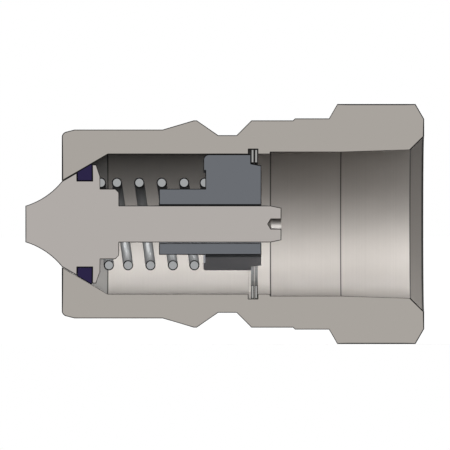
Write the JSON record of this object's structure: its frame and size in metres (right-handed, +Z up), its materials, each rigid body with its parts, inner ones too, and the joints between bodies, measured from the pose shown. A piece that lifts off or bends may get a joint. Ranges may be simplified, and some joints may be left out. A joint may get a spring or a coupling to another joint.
{
  "type": "hydraulic quick coupler",
  "caption": "Male half of a poppet-type hydraulic quick coupler: hexagon body with locking groove and taper pipe port, sprung poppet valve, guide and retaining ring.",
  "frame": {"origin": "on the coupler's axis, at the rear end of the nose's cylinder, as far as the female half's bore slides over it", "axes": "+X along the axis, out of the port; the nose points to -X; +Z up, square to two of the hexagon's flats; the coupler lies on the lower one"},
  "size_m": [0.0498, 0.0346, 0.03],
  "materials": {
    "turned_steel": "turned and bright plated, fine lathe rings",
    "valve_steel": "fine turned",
    "seal_rubber": "smooth dark blue-black rubber",
    "spring_steel": "drawn wire with ground ends",
    "guide_steel": "dark phosphated, satin",
    "ring_steel": "rolled flat wire"
  },
  "bodies": {
    "body": {"body": "turned_steel", "valve_guide": "guide_steel", "retaining_ring": "ring_steel", "spring": "spring_steel"},
    "poppet": {"poppet": "valve_steel", "poppet_seal": "seal_rubber"}
  },
  "joints": [
    {"name": "poppet_slide", "type": "slide", "parent": "body", "child": "poppet", "axis": [1, 0, 0], "range_m": [0, 0.0049], "stiffness_N_per_m": 6700, "springref_m": -0.004, "deforming": ["spring"]}
  ]
}
